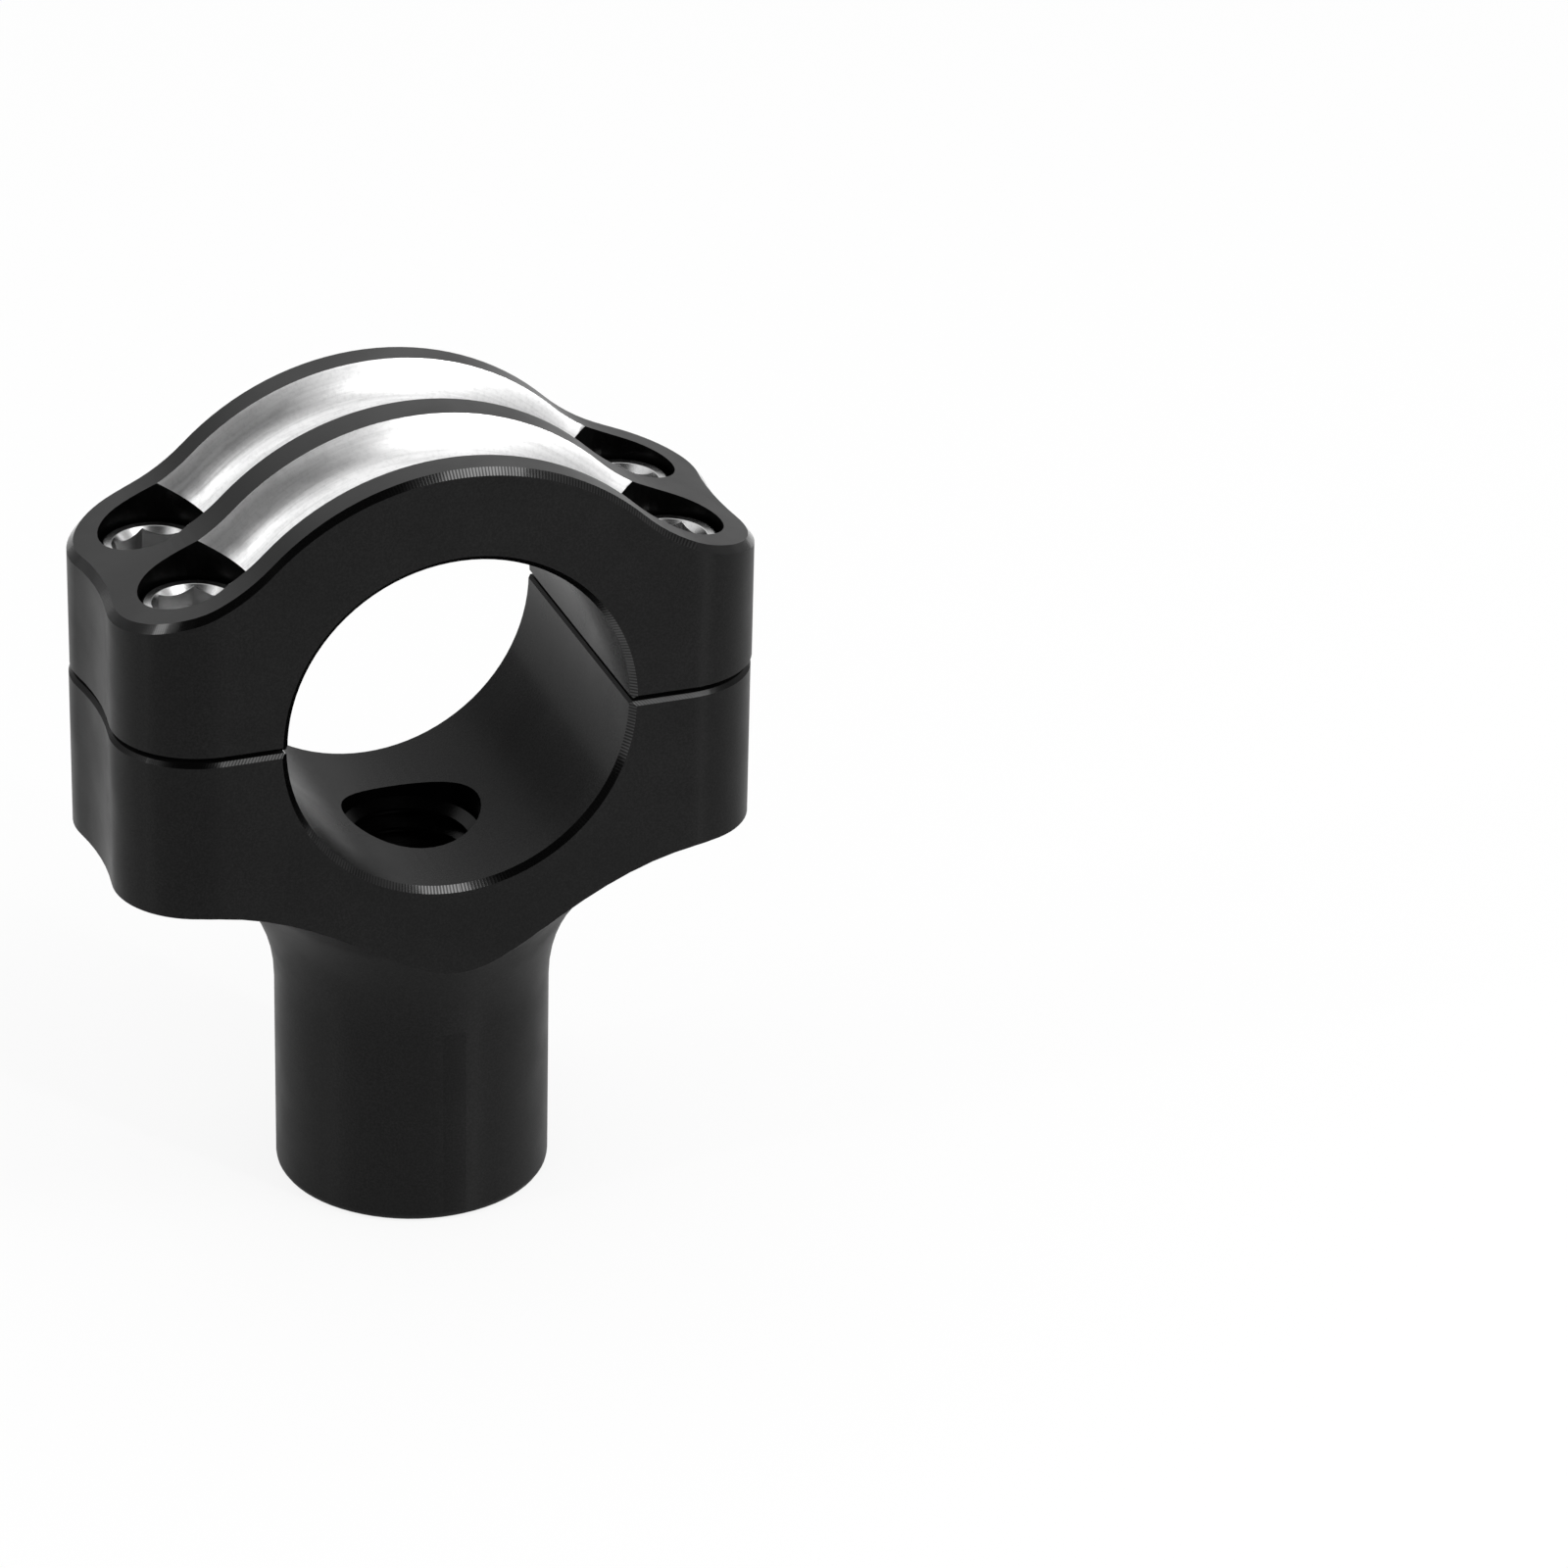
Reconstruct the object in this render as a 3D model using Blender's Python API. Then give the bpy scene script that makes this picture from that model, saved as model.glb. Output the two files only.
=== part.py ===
"""A motorcycle handlebar riser: a post with the lower clamp half in one piece, a cap and four cap screws.

Metres, +Z up. The post stands on z = 0 with its axis on Z, and the handlebar lies along Y. The screws
stand in two pairs, left and right of the bar.
"""

import math

import bmesh
import bpy

MM = 0.001

# Bar and clamp block
BAR_DIAMETER = 31.75 * MM
BAR_HEIGHT = 51.2 * MM  # the post's foot up to the bar's centre
BLOCK_DEPTH = 28.5 * MM  # front face to back face, along the bar
SCREW_WALL = 2.85 * MM  # between the bore and a screw's shank
SCREW_SPACING_Y = 12.7 * MM  # along the bar
EAR_REACH = 7.75 * MM  # from a screw's axis out to the block's end
EAR_LIFT = 0.575 * MM  # the ears' flat underside above the bore's lowest line
WAIST_RADIUS = 30.0 * MM  # the hollow between the two lobes at each end
SPLIT_GAP = 0.3 * MM  # between body and cap, half above the bar's centre and half below
SPLIT_CHAMFER = 0.35 * MM
BORE_CHAMFER = 0.55 * MM
BORE_EDGE_CHAMFER = 0.25 * MM  # where the bore meets the parting faces

# Post
POST_DIAMETER = 25.2 * MM
FLARE_RADIUS = 16.6 * MM  # the post's trumpet-shaped run-out into the block
FLARE_ANGLE = math.radians(84)  # how far the flare has turned where it meets the ears' underside
FLARE_RUN_ON_ANGLE = math.radians(3)  # its further turn inside the ears
FOOT_ROUNDING = 0.9 * MM
STUD_DIAMETER = 12.7 * MM  # the mounting stud's thread, which enters from the foot
STUD_COUNTERSINK = 0.8 * MM

# Cap
CAP_WALL = 8.75 * MM  # over the bar
CAP_HOLLOW_RADIUS = 17.4 * MM  # from the hump out to the ears
CAP_EAR_ANGLE = math.radians(17.3)  # how steeply the ears' tops fall outwards
CAP_END_HEIGHT = 11.95 * MM  # the ear's tip above the bar's centre
CAP_CHAMFER = 0.6 * MM
CAP_SHIFT = 0.1 * MM  # the cap was tightened down this far to the right of the body
CUTTER_RADIUS = 5.0 * MM  # the round-nosed cutter of the grooves, which also sinks the screw pockets
GROOVE_DEPTH = 3.3 * MM

# Cap screws
SCREW_DIAMETER = 6.35 * MM
SCREW_LENGTH = 16.0 * MM
SCREW_CLEARANCE = 0.3 * MM  # round the shank and under the head
HEAD_DIAMETER = 9.3 * MM
HEAD_HEIGHT = 6.35 * MM
HEAD_CROWN_WIDTH = 1.1 * MM  # the ring round the socket, which falls away to the rim
HEAD_CROWN_DROP = 0.35 * MM
HEAD_TOP_HEIGHT = 11.9 * MM  # above the bar's centre
SOCKET_FLATS = 6.1 * MM
SOCKET_DEPTH = 3.2 * MM
SHANK_END_CHAMFER = 0.8 * MM
SCREW_HOLE_SPARE = 1.4 * MM  # below the shank's end
DRILL_POINT_ANGLE = math.radians(59)  # half of the drill's point

# How finely the curves are divided
BORE_STEPS = 96
POST_STEPS = 72
FLARE_STEPS = 14
FOOT_STEPS = 4
LOBE_STEPS = 18
WAIST_STEPS = 6
HUMP_STEPS = 32
HOLLOW_STEPS = 8
CUTTER_STEPS = 40
POCKET_STEPS = 40
SCREW_STEPS = 40
HOLE_STEPS = 24

BAR_RADIUS = BAR_DIAMETER / 2
POST_RADIUS = POST_DIAMETER / 2
STUD_RADIUS = STUD_DIAMETER / 2
HALF_DEPTH = BLOCK_DEPTH / 2
SCREW_X = BAR_RADIUS + SCREW_WALL + SCREW_DIAMETER / 2
SCREW_Y = SCREW_SPACING_Y / 2
EAR_END = SCREW_X + EAR_REACH
EAR_DROP = BAR_RADIUS - EAR_LIFT
LOBE_RADIUS = HALF_DEPTH - SCREW_Y
LOBE_X = EAR_END - LOBE_RADIUS
HUMP_RADIUS = BAR_RADIUS + CAP_WALL
HEAD_SEAT = HEAD_TOP_HEIGHT - HEAD_HEIGHT
HOLE_RADIUS = SCREW_DIAMETER / 2 + SCREW_CLEARANCE
OVERSHOOT = 2 * MM  # how far a cutter runs past the face that it enters
WELD = 0.003 * MM  # points nearer than this are one point

# Where each screw stands, and how far its socket is turned, in degrees
SCREWS = {
    "screw_left_front": (-1, -1, 13),
    "screw_left_back": (-1, 1, 30),
    "screw_right_front": (1, -1, 47),
    "screw_right_back": (1, 1, 10),
}


def arc(centre, radius, start, end, steps):
    """Points along an arc, both ends included; a negative turn runs clockwise."""
    turn = (end - start) / steps
    return [
        (
            centre[0] + radius * math.cos(start + turn * i),
            centre[1] + radius * math.sin(start + turn * i),
        )
        for i in range(steps + 1)
    ]


def material(name, colour, roughness, metallic):
    made = bpy.data.materials.new(name)
    made.use_nodes = True
    made.diffuse_color = (*colour, 1)
    shader = made.node_tree.nodes["Principled BSDF"]
    shader.inputs["Base Color"].default_value = (*colour, 1)
    shader.inputs["Roughness"].default_value = roughness
    shader.inputs["Metallic"].default_value = metallic
    return made


def new_object(name, mesh_data, finish):
    """An object made from a bmesh, with its faces turned outwards."""
    bmesh.ops.recalc_face_normals(mesh_data, faces=mesh_data.faces)
    mesh = bpy.data.meshes.new(name)
    mesh_data.to_mesh(mesh)
    mesh_data.free()
    mesh.materials.append(finish)
    made = bpy.data.objects.new(name, mesh)
    bpy.context.scene.collection.objects.link(made)
    return made


def smooth(made):
    """Round faces shade round, and edges steeper than 25 degrees stay sharp."""
    made.data.shade_smooth()
    made.data.set_sharp_from_angle(angle=math.radians(25))


def rings_solid(rings):
    """A bmesh closed over a stack of rings that have equally many points."""
    solid = bmesh.new()
    loops = [[solid.verts.new(point) for point in ring] for ring in rings]
    for low, high in zip(loops, loops[1:]):
        for i in range(len(low)):
            j = (i + 1) % len(low)
            solid.faces.new((low[i], low[j], high[j], high[i]))
    solid.faces.new(reversed(loops[0]))
    solid.faces.new(loops[-1])
    return solid


def turned(name, profile, steps, finish, along_bar=False):
    """A piece turned about Z, or about Y where it lies along the bar, from (radius, place) points."""
    rings = []
    for radius, place in profile:
        circle = arc((0, 0), radius, 0, 2 * math.pi, steps)[:-1]
        if along_bar:
            rings.append([(x, place, y) for x, y in circle])
        else:
            rings.append([(x, y, place) for x, y in circle])
    return new_object(name, rings_solid(rings), finish)


def combine(target, operation, tools):
    """Adds, removes or keeps what each tool covers, and takes the tools away again."""
    for tool in tools:
        step = target.modifiers.new(tool.name, "BOOLEAN")
        step.operation = operation
        step.object = tool
        step.solver = "EXACT"
        step.material_mode = "TRANSFER"
    bpy.context.view_layer.update()
    evaluated = target.evaluated_get(bpy.context.evaluated_depsgraph_get())
    rough = target.data
    target.data = bpy.data.meshes.new_from_object(evaluated)
    target.modifiers.clear()
    bpy.data.meshes.remove(rough)
    cut = bmesh.new()
    cut.from_mesh(target.data)
    bmesh.ops.remove_doubles(cut, verts=cut.verts, dist=WELD)
    cut.to_mesh(target.data)
    cut.free()
    for tool in tools:
        bpy.data.objects.remove(tool)


def block_outline(inset):
    """The block's plan, anticlockwise: a round lobe at each corner and a hollow waist at each end."""
    lobe = LOBE_RADIUS - inset
    waist = WAIST_RADIUS + inset
    waist_x = LOBE_X + math.sqrt((lobe + waist) ** 2 - SCREW_Y**2)
    lean = math.atan2(SCREW_Y, waist_x - LOBE_X)
    end = arc((LOBE_X, -SCREW_Y), lobe, -math.pi / 2, lean, LOBE_STEPS)
    end += arc((waist_x, 0), waist, math.pi + lean, math.pi - lean, WAIST_STEPS)[1:-1]
    end += arc((LOBE_X, SCREW_Y), lobe, -lean, math.pi / 2, LOBE_STEPS)
    return end + [(-x, -y) for x, y in end]


def block(low, high, low_chamfer, high_chamfer):
    """An upright block with the plan outline and chamfered rims, as a bmesh."""
    levels = [
        (low_chamfer, low),
        (0, low + low_chamfer),
        (0, high - high_chamfer),
        (high_chamfer, high),
    ]
    return rings_solid([[(x, y, z) for x, y in block_outline(inset)] for inset, z in levels])


def cap_profile(offset):
    """The cap's top seen from the front, as (x, z) points from the left ear's tip to the right one's.

    A hump about the bar's centre runs through a hollow arc into the sloping ear. An offset moves the
    line outwards, so that a cutter's centre can follow it.
    """
    hump = HUMP_RADIUS + offset
    hollow = CAP_HOLLOW_RADIUS - offset
    outward = (math.cos(CAP_EAR_ANGLE), -math.sin(CAP_EAR_ANGLE))
    upward = (math.sin(CAP_EAR_ANGLE), math.cos(CAP_EAR_ANGLE))
    ear_line = upward[0] * EAR_END + upward[1] * CAP_END_HEIGHT
    rise = ear_line + CAP_HOLLOW_RADIUS
    run = math.sqrt((HUMP_RADIUS + CAP_HOLLOW_RADIUS) ** 2 - rise**2)
    centre = (
        upward[0] * rise + outward[0] * run,
        upward[1] * rise + outward[1] * run,
    )
    join = math.atan2(centre[1], centre[0])
    right = arc((0, 0), hump, math.pi / 2, join, HUMP_STEPS // 2)
    right += arc(centre, hollow, join - math.pi, -math.pi / 2 - CAP_EAR_ANGLE, HOLLOW_STEPS)[1:]
    last_x, last_z = right[-1]
    reach = EAR_END + OVERSHOOT - last_x
    right.append((last_x + reach, last_z - reach * math.tan(CAP_EAR_ANGLE)))
    return [(-x, z) for x, z in reversed(right)][:-1] + right


def height_on(profile, x):
    """The profile's height at x, on the straight line between its two neighbouring points."""
    for (x0, z0), (x1, z1) in zip(profile, profile[1:]):
        if x <= x1:
            return z0 + (z1 - z0) * (x - x0) / (x1 - x0)
    return profile[-1][1]


def cap_blank(finish):
    """The cap before its cuts: a block whose upper rim and face are lifted to the top profile."""
    profile = cap_profile(0)
    solid = block(SPLIT_GAP / 2, HUMP_RADIUS, SPLIT_CHAMFER, CAP_CHAMFER)
    for x, _ in profile:
        geometry = solid.verts[:] + solid.edges[:] + solid.faces[:]
        bmesh.ops.bisect_plane(
            solid, geom=geometry, dist=WELD, plane_co=(x, 0, 0), plane_no=(1, 0, 0)
        )
    for vertex in solid.verts:
        if vertex.co.z > HUMP_RADIUS / 2:
            vertex.co.z += height_on(profile, vertex.co.x) - HUMP_RADIUS
    return new_object("top_cap", solid, finish)


def bar_bore(finish):
    """What the handlebar and the chamfers at both mouths take away, turned about the bar's centre."""
    mouth = BORE_CHAMFER + OVERSHOOT
    straight = HALF_DEPTH - BORE_CHAMFER
    profile = [
        (BAR_RADIUS + mouth, -straight - mouth),
        (BAR_RADIUS, -straight),
        (BAR_RADIUS, straight),
        (BAR_RADIUS + mouth, straight + mouth),
    ]
    return turned("bar_bore", profile, BORE_STEPS, finish, along_bar=True)


def bore_edges(finish):
    """What breaks the bore's edges along the parting gap: a bar of diamond section on each side."""
    reach = SPLIT_GAP / 2 + BORE_EDGE_CHAMFER
    diamond = [(reach, 0), (0, reach), (-reach, 0), (0, -reach)]
    end = HALF_DEPTH + OVERSHOOT
    edges = []
    for middle in (-BAR_RADIUS, BAR_RADIUS):
        rings = [[(middle + x, y, z) for x, z in diamond] for y in (-end, end)]
        edges.append(new_object("bore_edge", rings_solid(rings), finish))
    return edges


def groove_sweep(y, finish):
    """The round-nosed cutter's path over the hump, from over one screw to over the other.

    Its stations lie midway between the hump's own, so that no two edges cross at a point of both.
    """
    line = cap_profile(CUTTER_RADIUS - GROOVE_DEPTH)
    middles = [((x0 + x1) / 2, (z0 + z1) / 2) for (x0, z0), (x1, z1) in zip(line, line[1:])]
    path = [(x, z) for x, z in middles if abs(x) < SCREW_X]
    rings = []
    for i, (x, z) in enumerate(path):
        before = path[max(i - 1, 0)]
        after = path[min(i + 1, len(path) - 1)]
        lean = math.atan2(after[1] - before[1], after[0] - before[0])
        circle = arc((0, 0), CUTTER_RADIUS, 0, 2 * math.pi, CUTTER_STEPS)[:-1]
        rings.append([(x - v * math.sin(lean), y + u, z + v * math.cos(lean)) for u, v in circle])
    return new_object("groove_sweep", rings_solid(rings), finish)


def screw_pocket(x, y, finish):
    """The counterbore for one screw's head and the clearance hole for its shank."""
    floor = HEAD_SEAT - SCREW_CLEARANCE
    profile = [
        (HOLE_RADIUS, -OVERSHOOT),
        (HOLE_RADIUS, floor),
        (CUTTER_RADIUS, floor),
        (CUTTER_RADIUS, HUMP_RADIUS + OVERSHOOT),
    ]
    cutter = turned("screw_pocket", profile, POCKET_STEPS, finish)
    cutter.location = (x, y, 0)
    return cutter


def screw_hole(x, y, finish):
    """The tapped hole in the body, with the drill's pointed end."""
    depth = SCREW_LENGTH - HEAD_SEAT + SCREW_HOLE_SPARE
    tip_radius = HOLE_RADIUS / 8
    point = (HOLE_RADIUS - tip_radius) / math.tan(DRILL_POINT_ANGLE)
    profile = [
        (tip_radius, BAR_HEIGHT - depth - point),
        (HOLE_RADIUS, BAR_HEIGHT - depth),
        (HOLE_RADIUS, BAR_HEIGHT + OVERSHOOT),
    ]
    cutter = turned("screw_hole", profile, HOLE_STEPS, finish)
    cutter.location = (x, y, 0)
    return cutter


def stud_hole(finish):
    """The hole up the post for the mounting stud, countersunk at the foot and open into the bore."""
    mouth = STUD_COUNTERSINK + OVERSHOOT
    profile = [
        (STUD_RADIUS + mouth, -OVERSHOOT),
        (STUD_RADIUS, STUD_COUNTERSINK),
        (STUD_RADIUS, BAR_HEIGHT - BAR_RADIUS / 2),
    ]
    return turned("stud_hole", profile, POCKET_STEPS, finish)


def turned_post(finish):
    """The post with its flare, which runs on up inside the clamp block."""
    foot_centre = (POST_RADIUS - FOOT_ROUNDING, FOOT_ROUNDING)
    profile = arc(foot_centre, FOOT_ROUNDING, -math.pi / 2, 0, FOOT_STEPS)
    flare_start = BAR_HEIGHT - EAR_DROP - FLARE_RADIUS * math.sin(FLARE_ANGLE)
    flare_centre = (POST_RADIUS + FLARE_RADIUS, flare_start)
    flare_end = math.pi - FLARE_ANGLE - FLARE_RUN_ON_ANGLE
    profile += arc(flare_centre, FLARE_RADIUS, math.pi, flare_end, FLARE_STEPS)
    profile.append((profile[-1][0], BAR_HEIGHT - EAR_DROP / 2))
    return turned("riser_body", profile, POST_STEPS, finish)


def ear_slab(finish):
    """A slab over the whole plan, whose flat underside is the ears' own."""
    corner = (EAR_END + OVERSHOOT, HALF_DEPTH + OVERSHOOT)
    corners = [(-1, -1), (1, -1), (1, 1), (-1, 1)]
    rings = [
        [(corner[0] * sx, corner[1] * sy, z) for sx, sy in corners]
        for z in (BAR_HEIGHT - EAR_DROP, BAR_HEIGHT + OVERSHOOT)
    ]
    return new_object("ear_slab", rings_solid(rings), finish)


def riser_body(finish):
    """Post, flare and lower clamp half: one piece, milled to the plan outline and bored."""
    body = turned_post(finish)
    combine(body, "UNION", [ear_slab(finish)])
    top = BAR_HEIGHT - SPLIT_GAP / 2
    outline = new_object("outline", block(-OVERSHOOT, top, SPLIT_CHAMFER, SPLIT_CHAMFER), finish)
    combine(body, "INTERSECT", [outline])
    bore = [bar_bore(finish)] + bore_edges(finish)
    for cutter in bore:
        cutter.location.z = BAR_HEIGHT
    holes = [screw_hole(sx * SCREW_X, sy * SCREW_Y, finish) for sx, sy, _ in SCREWS.values()]
    combine(body, "DIFFERENCE", bore + [stud_hole(finish)] + holes)
    smooth(body)
    return body


def top_cap(finish, bright_finish):
    """The cap: bored with the body, a pocket for each screw and two bright round grooves over the hump."""
    cap = cap_blank(finish)
    pockets = [screw_pocket(sx * SCREW_X, sy * SCREW_Y, finish) for sx, sy, _ in SCREWS.values()]
    combine(cap, "DIFFERENCE", [bar_bore(finish)] + bore_edges(finish) + pockets)
    grooves = [groove_sweep(side * SCREW_Y, bright_finish) for side in (-1, 1)]
    combine(cap, "DIFFERENCE", grooves)
    smooth(cap)
    cap.location = (CAP_SHIFT, 0, BAR_HEIGHT)
    return cap


def cap_screw(finish):
    """A socket-head cap screw with its origin under the head."""
    head = HEAD_DIAMETER / 2
    shank = SCREW_DIAMETER / 2
    profile = [
        (shank - SHANK_END_CHAMFER, -SCREW_LENGTH),
        (shank, SHANK_END_CHAMFER - SCREW_LENGTH),
        (shank, 0),
        (head, 0),
        (head, HEAD_HEIGHT - HEAD_CROWN_DROP),
        (head - HEAD_CROWN_WIDTH, HEAD_HEIGHT),
    ]
    screw = turned("cap_screw", profile, SCREW_STEPS, finish)
    corner = SOCKET_FLATS / math.sqrt(3)
    floor = HEAD_HEIGHT - SOCKET_DEPTH
    socket = turned("socket", [(corner, floor), (corner, HEAD_HEIGHT + OVERSHOOT)], 6, finish)
    combine(screw, "DIFFERENCE", [socket])
    smooth(screw)
    return screw


def place_screws(pattern, parent):
    """Four screws that share the pattern's mesh, each standing on its own pocket's floor."""
    for name, (sx, sy, turn) in SCREWS.items():
        screw = bpy.data.objects.new(name, pattern.data)
        bpy.context.scene.collection.objects.link(screw)
        screw.location = (sx * SCREW_X, sy * SCREW_Y, BAR_HEIGHT + HEAD_SEAT)
        screw.rotation_euler.z = math.radians(turn)
        screw.parent = parent
    bpy.data.objects.remove(pattern)


def main():
    for old in list(bpy.data.objects):
        bpy.data.objects.remove(old)
    black = material("black_anodised", (0.012, 0.012, 0.013), 0.42, 0.6)
    bright = material("bright_cut", (0.86, 0.86, 0.87), 0.22, 1.0)
    steel = material("screw_steel", (0.6, 0.6, 0.61), 0.3, 1.0)
    riser = bpy.data.objects.new("riser", None)
    bpy.context.scene.collection.objects.link(riser)
    body = riser_body(black)
    body.parent = riser
    cap = top_cap(black, bright)
    cap.parent = riser
    place_screws(cap_screw(steel), riser)


main()
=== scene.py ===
"""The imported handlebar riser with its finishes, finer screws, a stud thread, a studio and a camera."""

import math

import bmesh
import bpy
from mathutils import Matrix, Vector

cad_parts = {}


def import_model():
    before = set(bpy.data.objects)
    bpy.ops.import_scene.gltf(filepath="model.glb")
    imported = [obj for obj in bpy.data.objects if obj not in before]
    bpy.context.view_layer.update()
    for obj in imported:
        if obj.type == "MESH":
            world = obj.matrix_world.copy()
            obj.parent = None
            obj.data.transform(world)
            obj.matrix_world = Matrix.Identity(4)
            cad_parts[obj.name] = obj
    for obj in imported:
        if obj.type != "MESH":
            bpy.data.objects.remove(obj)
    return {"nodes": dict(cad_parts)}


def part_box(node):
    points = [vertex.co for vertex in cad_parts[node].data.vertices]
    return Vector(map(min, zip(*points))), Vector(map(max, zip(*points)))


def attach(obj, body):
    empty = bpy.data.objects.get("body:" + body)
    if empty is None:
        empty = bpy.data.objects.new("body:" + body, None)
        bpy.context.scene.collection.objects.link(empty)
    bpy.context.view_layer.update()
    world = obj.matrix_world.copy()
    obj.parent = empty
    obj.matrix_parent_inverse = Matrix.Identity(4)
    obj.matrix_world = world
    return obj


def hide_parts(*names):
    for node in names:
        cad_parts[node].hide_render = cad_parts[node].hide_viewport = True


MM = 0.001

# Sizes of the part that the finishes follow, as in its solids
BAR_HEIGHT = 51.2 * MM
BAR_RADIUS = 15.875 * MM
HUMP_RADIUS = 24.625 * MM
EAR_DROP = 15.3 * MM  # from the bar's centre down to the ears' underside
STUD_RADIUS = 6.35 * MM
SCREW_X = 21.9 * MM
SCREW_Y = 6.35 * MM
CAP_SHIFT = 0.1 * MM
CUTTER_RADIUS = 5.0 * MM  # of the round-nosed cutter that left the grooves and the pockets
GROOVE_HALF_WIDTH = 4.7 * MM

# How far from a surface or an edge the middle of a face that belongs to it may lie
SURFACE_REACH = 0.01 * MM
CHAMFER_REACH = 0.6 * MM
STUD_REACH = 0.9 * MM
STUD_MOUTH_RISE = 3.0 * MM  # of the stud hole's mouth, at most, above the bore's lowest line
POCKET_REACH = 0.1 * MM
GROOVE_REACH = 0.05 * MM

# Parts of a face's normal that tell which way the face lies
CHAMFER_NORMAL = (0.5, 0.9)  # towards each of the two faces that a chamfer joins
UPRIGHT_NORMAL = 0.05  # upward, at most, on an upright wall
LEVEL_NORMAL = 0.99  # upward, at least, on a level floor
FRONT_NORMAL = 0.999  # along the bar, at least, on the flat front and back
RIB_NORMAL = 0.001  # along the bar, at most, on a rib's top
LOOK_NORMAL = 0.8  # along an axis, at most, on a face that looks another way

LINE_PITCH = 0.3 * MM  # between the lines that the chamfering cutter left

# Spans of a noise that hold most of its values, and of a wave's middle
NOISE_SPAN = (0.3, 0.7)
NARROW_SPAN = (0.35, 0.65)
WAVE_SPAN = (-0.5, 0.5)

# How far a texture is squeezed along each axis: small values draw its lines out along that axis
MILL = (0.1, 0.1, 3.0)
LATHE = (0.02, 0.02, 5.0)
BORING_HEAD = (0.02, 5.0, 0.02)
BRUSH = (0.06, 4.5, 0.06)
SMEAR = (0.2, 1.4, 0.2)

WELD = 0.001 * MM  # facets' corners nearer than this shade as one
SHARP_ANGLE = math.radians(28)

# The screws, in degrees turned to where the photograph shows their sockets
SCREW_TURNS = {
    "screw_left_front": 13,
    "screw_left_back": 30,
    "screw_right_front": 47,
    "screw_right_back": 10,
}
SHANK_RADIUS = 3.175 * MM
SHANK_LENGTH = 16.0 * MM
SHANK_END = 0.8 * MM  # chamfer
HEAD_RADIUS = 4.65 * MM
HEAD_HEIGHT = 6.35 * MM
HEAD_EDGE = 0.25 * MM  # chamfer
SINK_RADIUS = 3.68 * MM  # of the cone that leads into the socket
SOCKET_FLATS = 6.1 * MM
SOCKET_DEPTH = 3.2 * MM
SCREW_STEPS = 96
WORN_EDGE = 0.06 * MM
WORN_ANGLE = math.radians(30)  # edges sharper than this are worn

# The stud hole's thread
THREAD_PITCH = 1.954 * MM
THREAD_DEPTH = 0.95 * MM
THREAD_START = 1.6 * MM
THREAD_END = 34.6 * MM
THREAD_FOOT = 0.46 * THREAD_PITCH  # from the middle of the ridge to its foot
THREAD_CREST = 0.07 * THREAD_PITCH  # from its middle to the crest's edge
THREAD_STEPS = 64
THREAD_SHARP_ANGLE = math.radians(25)

# Floor: its reach to each side, the paper's own grey, and how much of it is plain white
FLOOR_REACH = 6.0
PAPER_GREY = 0.93
FLOOR_WHITE_SEEN = 0.85  # to the camera
FLOOR_WHITE_MIRRORED = 0.4  # in reflections

# The room that reflections find. Each span is of one part of the mirrored direction.
WORLD_LIGHT = 0.8  # of the world as a lamp
BESIDE_SPAN = (-0.22, -0.05)  # along y, from the dark front to the lit sides and back
RIGHT_SPAN = (-0.05, 0.24)  # along x, from the dark front to the lit right
OVERHEAD_SPAN = (0.45, 0.62)  # upward, from dusk to dark, in front on the left
ROOM_DARK = 0.03
ROOM_DUSK = 0.12
FAR_RIGHT_SPAN = (0.55, 0.85)
FAR_RIGHT_LIGHT = 0.45
LOW_SPAN = (0.2, 0.45)  # upward, and a share of the way to the right
LOW_SHARE_RIGHT = 0.3
LOW_LIGHT = 0.4

# Softboxes: place, width and height in metres, and power in watts
SOFTBOXES = {
    "overhead": ((0.4, -0.42, 0.87), 0.4, 0.3, 1.9),
    "upper_left": ((-0.76, 0.04, 0.7), 0.15, 0.2, 0.4),
}

# Narrow strips that stand round the part: degrees from the right side, and power in watts
STRIPS = {
    "strip_left": (-172, 0.8),
    "strip_right": (-58, 1.8),
}
STRIP_DISTANCE = 0.8
STRIP_MIDDLE = 0.3  # above the floor
STRIP_WIDTH = 0.04
STRIP_HEIGHT = 0.5

# Camera, solved from the photograph
CAMERA_LENS = 154.07
CAMERA_SENSOR = 36
CAMERA_NEAREST = 0.01
CAMERA_PLACE = Vector((-0.167799, -0.514857, 0.264928)) + Vector((0, 0, BAR_HEIGHT))
CAMERA_RIGHT = Vector((0.93373461, -0.35718947, 0.02356606))
CAMERA_UP = Vector((0.143173, 0.43298692, 0.8899572))
CAMERA_BACK = Vector((-0.32808714, -0.82760982, 0.45543476))


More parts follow.
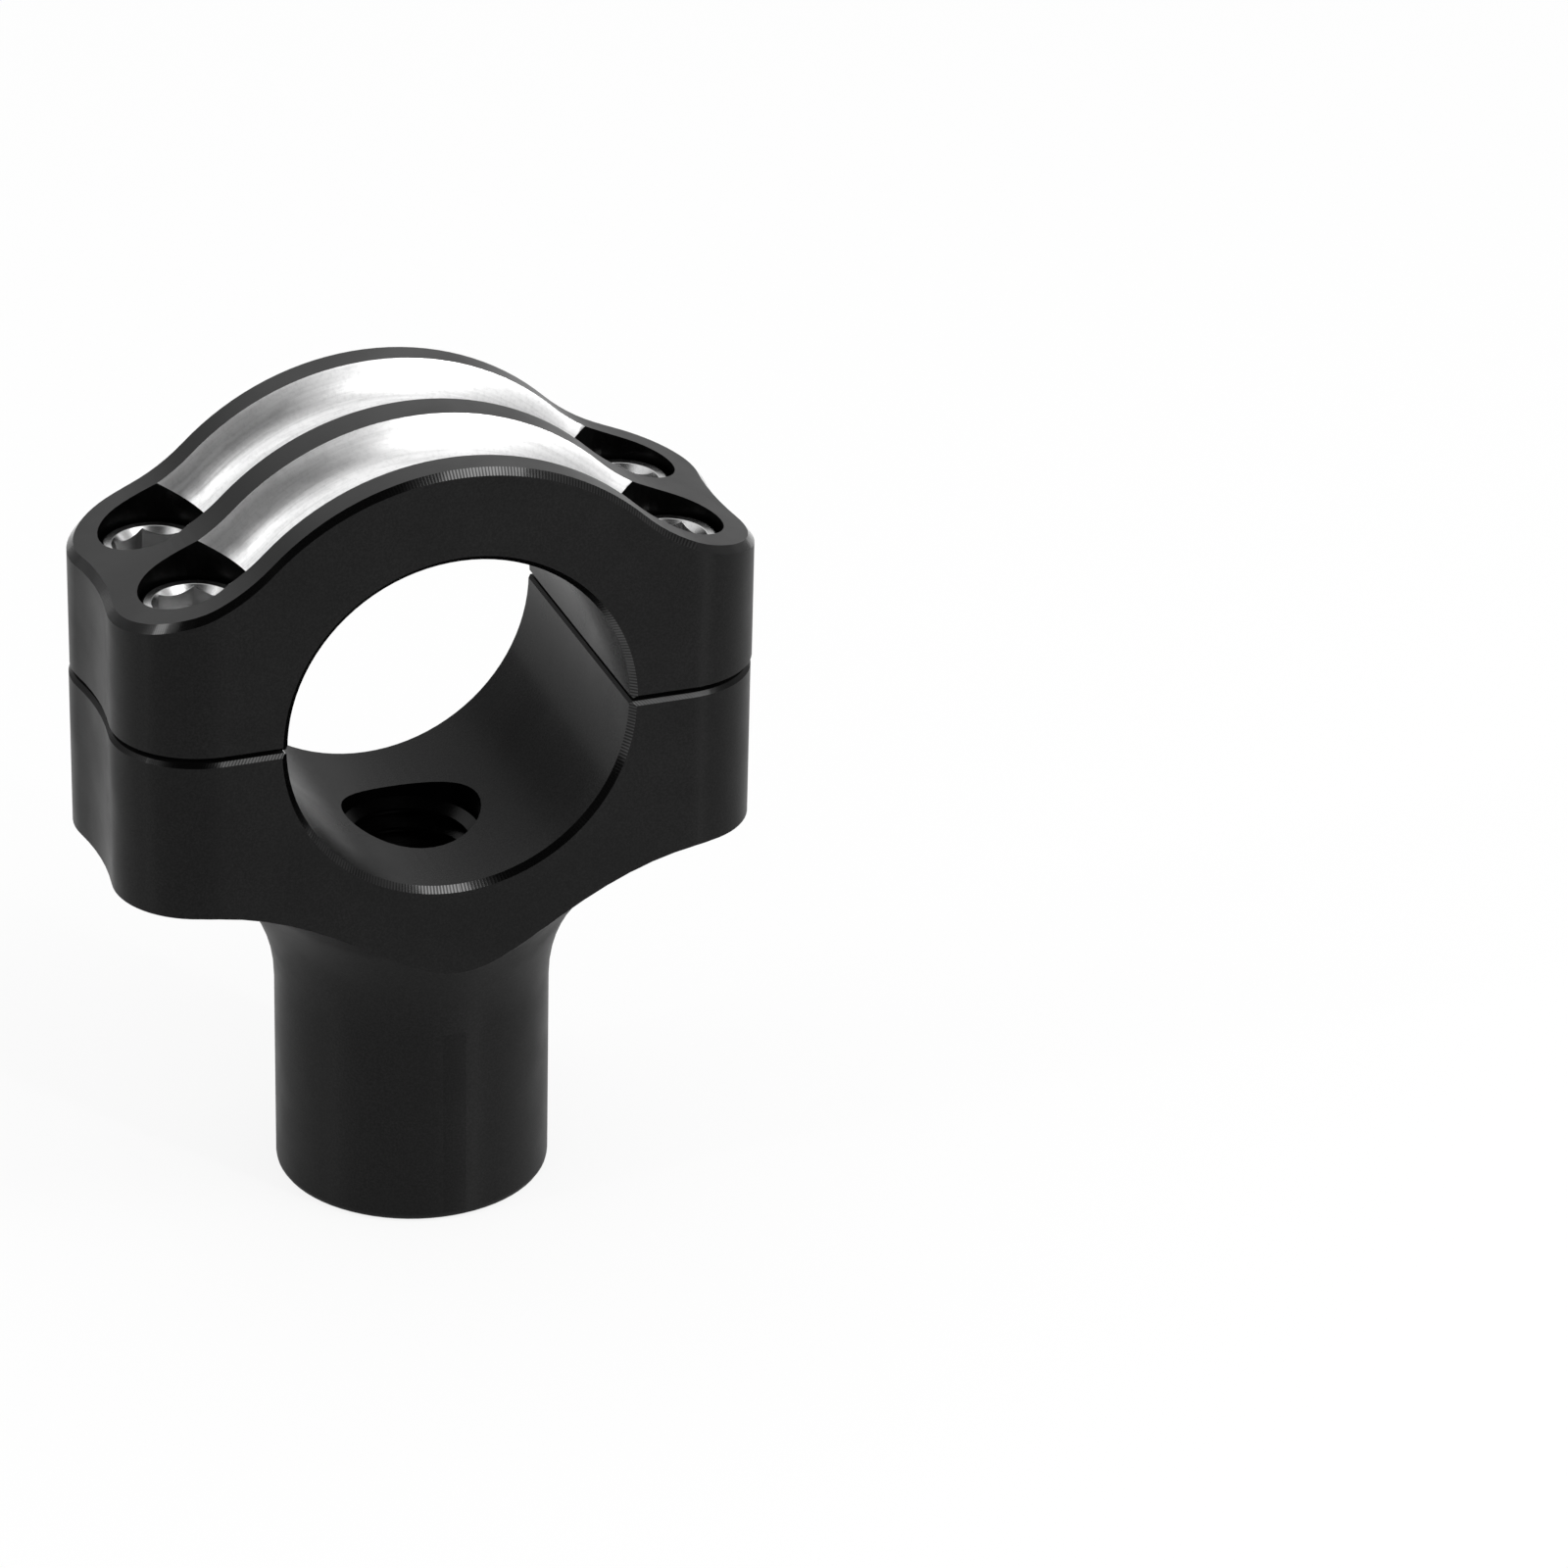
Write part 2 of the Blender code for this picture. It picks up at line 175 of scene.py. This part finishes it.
class Nodes:
    """A short way to write a material's or the world's node tree."""

    def __init__(self, tree):
        self.tree = tree
        tree.nodes.clear()

    def add(self, kind, inputs=None, **settings):
        """A node with its settings, and its inputs by name or number, each a value or a socket."""
        node = self.tree.nodes.new(kind)
        for name, value in settings.items():
            setattr(node, name, value)
        for name, value in (inputs or {}).items():
            if isinstance(value, bpy.types.NodeSocket):
                self.tree.links.new(value, node.inputs[name])
            else:
                node.inputs[name].default_value = value
        return node

    def math(self, operation, *values):
        inputs = dict(enumerate(values))
        return self.add("ShaderNodeMath", inputs, operation=operation).outputs[0]

    def times(self, first, second):
        return self.math("MULTIPLY", first, second)

    def ramp(self, value, span, result=(0.0, 1.0)):
        """The value carried from a span into the result's span, smoothly and clamped."""
        inputs = dict(enumerate((value, *span, *result)))
        made = self.add("ShaderNodeMapRange", inputs, interpolation_type="SMOOTHSTEP")
        return made.outputs[0]

    def noise(self, place, scale, detail=2.0, roughness=0.5):
        inputs = {"Vector": place, "Scale": scale, "Detail": detail, "Roughness": roughness}
        return self.add("ShaderNodeTexNoise", inputs).outputs["Fac"]

    def grey(self, value):
        return self.add("ShaderNodeCombineColor", {0: value, 1: value, 2: value}).outputs[0]

    def bump(self, height, distance, strength):
        inputs = {"Height": height, "Distance": distance, "Strength": strength}
        return self.add("ShaderNodeBump", inputs).outputs[0]

    def mirrored_ray(self):
        """1 for a ray that a shiny surface sent on, 0 for any other, and the light path's outputs."""
        path = self.add("ShaderNodeLightPath").outputs
        return self.math("MAXIMUM", path["Is Glossy Ray"], path["Is Transmission Ray"]), path


def new_material(name):
    made = bpy.data.materials.new(name)
    made.use_nodes = True
    return made, Nodes(made.node_tree)


def finish(nodes, inputs):
    shader = nodes.add("ShaderNodeBsdfPrincipled", inputs)
    nodes.add("ShaderNodeOutputMaterial", {"Surface": shader.outputs[0]})


def part_place(nodes, squeeze=(1, 1, 1)):
    """Object coordinates in millimetres from the piece's origin, squeezed along each axis."""
    place = nodes.add("ShaderNodeTexCoord").outputs["Object"]
    scale = [factor / MM for factor in squeeze]
    return nodes.add("ShaderNodeMapping", {"Vector": place, "Scale": scale}).outputs[0]


def anodised(name, base, squeeze=(1, 1, 1), roughness=0.4, specular=0.09, coat=0.04, spread=0.0):
    """Black anodised aluminium: a satin skin with a sandy grain, cloudy patches and the tool's faint lines.

    The squeeze draws the lines out along the way the tool ran. The spread draws highlights out upwards.
    The base is the skin's grey: where a part's base is darker than the walls' it is painted shade, where
    lighter it is painted light.
    """
    made, nodes = new_material(name)
    place = part_place(nodes)
    grain = nodes.noise(place, scale=5.0, detail=4.0, roughness=0.75)
    cloud = nodes.noise(place, scale=0.16, detail=3.0)
    lines = nodes.noise(part_place(nodes, squeeze), scale=1.0)
    height = nodes.math("ADD", nodes.times(grain, 0.4), nodes.times(lines, 0.4))
    shade = nodes.ramp(cloud, NOISE_SPAN, (base * 0.88, base * 1.12))
    speckle = nodes.ramp(grain, (0.35, 0.7), (0.6, 1.5))
    finish(nodes, {
        "Base Color": nodes.grey(nodes.times(shade, speckle)),
        "Roughness": nodes.ramp(cloud, NOISE_SPAN, (roughness - 0.04, roughness + 0.04)),
        "Specular IOR Level": specular,
        "Anisotropic": spread,
        "Anisotropic Rotation": 0.25,
        "Tangent": nodes.add("ShaderNodeTangent", direction_type="RADIAL", axis="Z").outputs[0],
        "Coat Weight": coat,
        "Coat Roughness": 0.14,
        "Normal": nodes.bump(height, distance=0.012 * MM, strength=0.8),
    })
    return made


def fan_lines(nodes, radius):
    """A wave with one crest each line pitch round the bar's axis, at the radius given."""
    place = nodes.add("ShaderNodeSeparateXYZ", {0: part_place(nodes)})
    upward = nodes.math("SUBTRACT", place.outputs[2], BAR_HEIGHT / MM)
    angle = nodes.math("ARCTAN2", place.outputs[0], upward)
    return nodes.math("SINE", nodes.times(angle, 2 * math.pi * radius / LINE_PITCH))


def rim_lines(nodes):
    """A wave with one crest each line pitch along the block's outline."""
    place = nodes.add("ShaderNodeSeparateXYZ", {0: part_place(nodes)})
    along = nodes.math("ADD", nodes.math("ABSOLUTE", place.outputs[0]), place.outputs[1])
    return nodes.math("SINE", nodes.times(along, 2 * math.pi * MM / LINE_PITCH))


def cut_chamfer(name, lines, shine=1.0):
    """A chamfer's skin, darker than the walls' as painted shade,
    with a clear gloss that the cutter's chatter breaks into fine lines.

    The shine is the gloss between the lines, from 0 to 1.
    """
    made, nodes = new_material(name)
    cloud = nodes.noise(part_place(nodes), scale=0.35, detail=2.0)
    wave = nodes.math("ADD", lines(nodes), nodes.ramp(cloud, NOISE_SPAN, (-0.4, 0.6)))
    finish(nodes, {
        # Painted shade: a base far darker than the walls', with the chatter lines in it
        "Base Color": nodes.grey(nodes.ramp(wave, WAVE_SPAN, (0.0014, 0.0005))),
        "Roughness": nodes.ramp(wave, WAVE_SPAN, (0.15, 0.09)),
        "Specular IOR Level": 0.1,
        "Coat Weight": nodes.ramp(wave, WAVE_SPAN, (0.2 * shine, shine)),
        "Coat Roughness": 0.1,
        "Normal": nodes.bump(wave, distance=0.004 * MM, strength=0.8),
    })
    return made


def bright_cut():
    """Bare aluminium in the grooves, cut after the anodising: bright, brushed along the sweep."""
    made, nodes = new_material("bright_cut")
    lines = nodes.noise(part_place(nodes, BRUSH), scale=1.0, detail=3.0)
    smear = nodes.noise(part_place(nodes, SMEAR), scale=1.0, detail=5.0, roughness=0.65)
    mottling = nodes.noise(part_place(nodes), scale=2.5, detail=4.0, roughness=0.7)
    streaks = nodes.ramp(lines, NOISE_SPAN, (0.86, 1.0))
    specks = nodes.ramp(mottling, (0.35, 0.55), (0.9, 1.0))
    tone = nodes.ramp(smear, (0.3, 0.65), (0.86, 1.0))
    finish(nodes, {
        "Base Color": nodes.grey(nodes.times(tone, nodes.times(streaks, specks))),
        "Metallic": 1.0,
        "Roughness": nodes.ramp(smear, NOISE_SPAN, (0.43, 0.35)),
        "Normal": nodes.bump(lines, distance=0.014 * MM, strength=0.7),
    })
    return made


def screw_steel():
    """Plated steel, bright, with small scuffs."""
    made, nodes = new_material("screw_steel")
    scuffs = nodes.noise(part_place(nodes), scale=1.2, detail=5.0, roughness=0.65)
    finish(nodes, {
        "Base Color": nodes.grey(nodes.ramp(scuffs, NARROW_SPAN, (0.52, 0.58))),
        "Metallic": 1.0,
        "Roughness": nodes.ramp(scuffs, NARROW_SPAN, (0.27, 0.21)),
        "Normal": nodes.bump(scuffs, distance=0.004 * MM, strength=0.4),
    })
    return made


def floor_material():
    """Near-white paper. To the camera it is mostly plain white, with a faint shadow."""
    made, nodes = new_material("floor")
    mirrored, path = nodes.mirrored_ray()
    seen = nodes.times(path["Is Camera Ray"], FLOOR_WHITE_SEEN)
    share = nodes.math("MAXIMUM", seen, nodes.times(mirrored, FLOOR_WHITE_MIRRORED))
    grey = (PAPER_GREY, PAPER_GREY, PAPER_GREY, 1)
    paper = nodes.add("ShaderNodeBsdfDiffuse", {"Color": grey}).outputs[0]
    white = nodes.add("ShaderNodeEmission", {"Color": (1, 1, 1, 1), "Strength": 1.0}).outputs[0]
    mixed = nodes.add("ShaderNodeMixShader", {0: share, 1: paper, 2: white})
    nodes.add("ShaderNodeOutputMaterial", {"Surface": mixed.outputs[0]})
    return made


def part_materials():
    return {
        "wall": anodised("anodised_wall", 0.006, MILL, spread=0.9),
        "post": anodised("anodised_post", 0.0062, LATHE, specular=0.11, spread=0.9),
        # rib: base darker than the walls', painted shade on the ribs' tops
        "rib": anodised("anodised_rib_painted_shade", 0.0025, roughness=0.34, specular=0.34, coat=0.0),
        # bore: base lighter than the walls', painted light inside the bore
        "bore": anodised("anodised_bore_painted_light", 0.011, BORING_HEAD, roughness=0.24, specular=0.05),
        # stud hole: base near black, painted shade down the hole and on its thread
        "stud_hole": anodised("anodised_hole_painted_shade", 0.0008, roughness=0.24, specular=0.22, coat=0.0),
        # pocket: base near black, painted shade in the screw pockets
        "pocket": anodised("anodised_pocket_painted_shade", 0.0003, roughness=0.3, coat=0.0),
        "crown_edge": cut_chamfer("crown_edge", lambda nodes: fan_lines(nodes, HUMP_RADIUS)),
        "bore_rim": cut_chamfer("bore_rim", lambda nodes: fan_lines(nodes, BAR_RADIUS)),
        "outline_edge": cut_chamfer("outline_edge", rim_lines),
        "split_edge": cut_chamfer("split_edge", rim_lines, shine=0.35),
        "groove": bright_cut(),
        "screw": screw_steel(),
    }


def soften(node):
    """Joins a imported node's loose facets for shading: round walls shade round and edges stay sharp."""
    weld = node.modifiers.new("join_facets", "WELD")
    weld.merge_threshold = WELD
    split = node.modifiers.new("sharp_edges", "EDGE_SPLIT")
    split.split_angle = SHARP_ANGLE
    normals = node.modifiers.new("even_faces", "WEIGHTED_NORMAL")
    normals.keep_sharp = True
    node.data.shade_smooth()


def dress(node, materials, rule):
    """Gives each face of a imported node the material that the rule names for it."""
    node.data.materials.clear()
    slots = {}
    for face in node.data.polygons:
        name = rule(face.center, face.normal)
        if name not in slots:
            slots[name] = len(slots)
            node.data.materials.append(materials[name])
        face.material_index = slots[name]


def is_chamfer(part_of_normal):
    least, most = CHAMFER_NORMAL
    return least < part_of_normal < most


def bore_rule(x, centre, normal):
    """The bore and its rims, which body and cap share; nothing where the face belongs to neither."""
    distance = math.hypot(x, centre.z - BAR_HEIGHT)
    along_bar = abs(normal.y)
    if distance < BAR_RADIUS + SURFACE_REACH and along_bar < CHAMFER_NORMAL[0]:
        return "bore"
    if distance < BAR_RADIUS + CHAMFER_REACH and is_chamfer(along_bar):
        return "bore_rim"
    return None


def body_rule(centre, normal):
    below_ears = centre.z < BAR_HEIGHT - EAR_DROP
    below_mouth = centre.z < BAR_HEIGHT - BAR_RADIUS + STUD_MOUTH_RISE
    if below_mouth and math.hypot(centre.x, centre.y) < STUD_RADIUS + STUD_REACH:
        return "stud_hole" if abs(normal.z) < LOOK_NORMAL or below_ears else "bore"
    found = bore_rule(centre.x, centre, normal)
    if found:
        return found
    if centre.z > BAR_HEIGHT - CHAMFER_REACH and is_chamfer(normal.z):
        return "split_edge"
    return "post" if below_ears and abs(normal.y) < FRONT_NORMAL else "wall"


def cap_rule(centre, normal):
    x = centre.x - CAP_SHIFT
    found = bore_rule(x, centre, normal)
    if found:
        return found
    if centre.z < BAR_HEIGHT + CHAMFER_REACH:
        return "outline_edge" if is_chamfer(-normal.z) else "wall"
    from_row = abs(abs(centre.y) - SCREW_Y)
    from_screw = math.hypot(abs(x) - SCREW_X, abs(centre.y) - SCREW_Y)
    is_upright = abs(normal.z) < UPRIGHT_NORMAL
    if from_screw < CUTTER_RADIUS + POCKET_REACH and (is_upright or normal.z > LEVEL_NORMAL):
        return "pocket"
    on_outline = from_row > CUTTER_RADIUS or abs(x) > SCREW_X
    if is_upright:
        return "wall" if on_outline else "pocket"
    is_rib = abs(normal.y) < RIB_NORMAL and abs(normal.x) < LOOK_NORMAL
    if not on_outline and not (is_rib and from_row > GROOVE_HALF_WIDTH - GROOVE_REACH):
        return "groove"
    if is_rib:
        return "rib"
    return "crown_edge" if abs(x) < SCREW_X else "outline_edge"


def smooth_mesh(made, name, material):
    """The mesh of a finished bmesh, smooth and in one material."""
    mesh = bpy.data.meshes.new(name)
    made.to_mesh(mesh)
    made.free()
    mesh.materials.append(material)
    mesh.shade_smooth()
    return mesh


def new_object(name, data):
    made = bpy.data.objects.new(name, data)
    bpy.context.scene.collection.objects.link(made)
    return made


def stud_thread(material):
    """A ridge wound up the stud hole, with sloping flanks and a narrow crest."""
    made = bmesh.new()
    turns = (THREAD_END - THREAD_START) / THREAD_PITCH
    foot = STUD_RADIUS - SURFACE_REACH
    crest = STUD_RADIUS - THREAD_DEPTH
    section = [
        (foot, -THREAD_FOOT),
        (crest, -THREAD_CREST),
        (crest, THREAD_CREST),
        (foot, THREAD_FOOT),
    ]
    rings = []
    for i in range(int(turns * THREAD_STEPS) + 1):
        angle = 2 * math.pi * i / THREAD_STEPS
        middle = THREAD_START + THREAD_PITCH * i / THREAD_STEPS
        rings.append([
            made.verts.new((radius * math.cos(angle), radius * math.sin(angle), middle + rise))
            for radius, rise in section
        ])
    for low, high in zip(rings, rings[1:]):
        for i in range(len(section)):
            j = (i + 1) % len(section)
            made.faces.new((low[i], high[i], high[j], low[j]))
    made.faces.new(rings[0])
    made.faces.new(reversed(rings[-1]))
    bmesh.ops.recalc_face_normals(made, faces=made.faces)
    mesh = smooth_mesh(made, "stud_thread", material)
    mesh.set_sharp_from_angle(angle=THREAD_SHARP_ANGLE)
    thread = new_object("stud_thread", mesh)
    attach(thread, "root")


def screw_sections(angle):
    """Radius and height at an angle round the screw, from the shank's end over the head to the socket."""
    wall = SOCKET_FLATS / 2 / math.cos(angle % (math.pi / 3) - math.pi / 6)
    return [
        (SHANK_RADIUS - SHANK_END, -SHANK_LENGTH),
        (SHANK_RADIUS, SHANK_END - SHANK_LENGTH),
        (SHANK_RADIUS, 0),
        (HEAD_RADIUS, 0),
        (HEAD_RADIUS, HEAD_HEIGHT - HEAD_EDGE),
        (HEAD_RADIUS - HEAD_EDGE, HEAD_HEIGHT),
        (SINK_RADIUS, HEAD_HEIGHT),
        (wall, HEAD_HEIGHT - SINK_RADIUS + wall),
        (wall, HEAD_HEIGHT - SOCKET_DEPTH),
    ]


def screw_mesh(name, turn, material):
    """A cap screw on its own axis, with the head's seat at height 0, turned by some degrees."""
    made = bmesh.new()
    columns = []
    for i in range(SCREW_STEPS):
        angle = 2 * math.pi * i / SCREW_STEPS
        turned = angle + math.radians(turn)
        columns.append([
            made.verts.new((radius * math.cos(turned), radius * math.sin(turned), height))
            for radius, height in screw_sections(angle)
        ])
    for column, after in zip(columns, columns[1:] + columns[:1]):
        for i in range(len(column) - 1):
            made.faces.new((column[i], after[i], after[i + 1], column[i + 1]))
    made.faces.new([column[0] for column in reversed(columns)])
    made.faces.new([column[-1] for column in columns])
    return smooth_mesh(made, name, material)


def cap_screw(node_name, turn, material):
    """Stands for a packed screw: the same size, with the socket's lead-in cone and slightly worn edges."""
    low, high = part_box(node_name)
    name = node_name + "_fine"
    screw = new_object(name, screw_mesh(name, turn, material))
    screw.location = ((low[0] + high[0]) / 2, (low[1] + high[1]) / 2, high[2] - HEAD_HEIGHT)
    bevel = screw.modifiers.new("worn_edges", "BEVEL")
    bevel.width = WORN_EDGE
    bevel.segments = 2
    bevel.limit_method = "ANGLE"
    bevel.angle_limit = WORN_ANGLE
    bevel.harden_normals = True
    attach(screw, "root")
    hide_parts(node_name)


def floor():
    mesh = bpy.data.meshes.new("floor")
    near, far = -FLOOR_REACH, FLOOR_REACH
    corners = [(near, near, 0), (far, near, 0), (far, far, 0), (near, far, 0)]
    mesh.from_pydata(corners, [], [(0, 1, 2, 3)])
    mesh.materials.append(floor_material())
    made = new_object("floor", mesh)


def softbox(name, place, width, height, power):
    """A rectangular lamp that faces the part."""
    lamp = bpy.data.lights.new(name, "AREA")
    lamp.shape = "RECTANGLE"
    lamp.size = width
    lamp.size_y = height
    lamp.energy = power
    made = new_object(name, lamp)
    made.location = place
    towards_part = Vector((0, 0, BAR_HEIGHT)) - Vector(place)
    made.rotation_euler = towards_part.to_track_quat("-Z", "Y").to_euler()


def lamps():
    """Two softboxes, and two narrow strips that draw the faint lines down the walls."""
    for name, (place, width, height, power) in SOFTBOXES.items():
        softbox(name, place, width, height, power)
    for name, (degrees, power) in STRIPS.items():
        angle = math.radians(degrees)
        place = (STRIP_DISTANCE * math.cos(angle), STRIP_DISTANCE * math.sin(angle), STRIP_MIDDLE)
        softbox(name, place, STRIP_WIDTH, STRIP_HEIGHT, power)


def world():
    """White to the camera. In reflections, a room that is dark in front on the left, and dimmer low down."""
    scene = bpy.context.scene
    scene.world = bpy.data.worlds.new("studio")
    scene.world.use_nodes = True
    nodes = Nodes(scene.world.node_tree)
    mirrored, path = nodes.mirrored_ray()
    direction = nodes.add("ShaderNodeTexCoord").outputs["Generated"]
    x, y, z = nodes.add("ShaderNodeSeparateXYZ", {0: direction}).outputs
    lit = nodes.math("MAXIMUM", nodes.ramp(y, BESIDE_SPAN), nodes.ramp(x, RIGHT_SPAN))
    front = nodes.math("MAXIMUM", nodes.ramp(z, OVERHEAD_SPAN, (ROOM_DUSK, ROOM_DARK)), lit)
    far_right = nodes.ramp(x, FAR_RIGHT_SPAN, (1.0, FAR_RIGHT_LIGHT))
    rising = nodes.math("ADD", z, nodes.times(x, LOW_SHARE_RIGHT))
    low_down = nodes.ramp(rising, LOW_SPAN, (LOW_LIGHT, 1.0))
    room = nodes.times(front, nodes.times(far_right, low_down))
    change = nodes.times(mirrored, nodes.math("SUBTRACT", room, WORLD_LIGHT))
    strength = nodes.math("MAXIMUM", nodes.math("ADD", change, WORLD_LIGHT), path["Is Camera Ray"])
    light = nodes.add("ShaderNodeBackground", {"Color": (1, 1, 1, 1), "Strength": strength})
    nodes.add("ShaderNodeOutputWorld", {"Surface": light.outputs[0]})


def camera():
    data = bpy.data.cameras.new("camera")
    data.lens = CAMERA_LENS
    data.sensor_width = CAMERA_SENSOR
    data.clip_start = CAMERA_NEAREST
    made = new_object("camera", data)
    axes = Matrix((CAMERA_RIGHT, CAMERA_UP, CAMERA_BACK)).transposed()
    made.matrix_world = Matrix.Translation(CAMERA_PLACE) @ axes.to_4x4()
    bpy.context.scene.camera = made


def main():
    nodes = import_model()["nodes"]
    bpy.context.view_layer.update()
    materials = part_materials()
    for name, rule in (("riser_body", body_rule), ("top_cap", cap_rule)):
        dress(nodes[name], materials, rule)
        soften(nodes[name])
    for name, turn in SCREW_TURNS.items():
        cap_screw(name, turn, materials["screw"])
    stud_thread(materials["stud_hole"])
    floor()
    world()
    lamps()
    camera()
    bpy.context.scene.view_settings.view_transform = "Standard"


main()
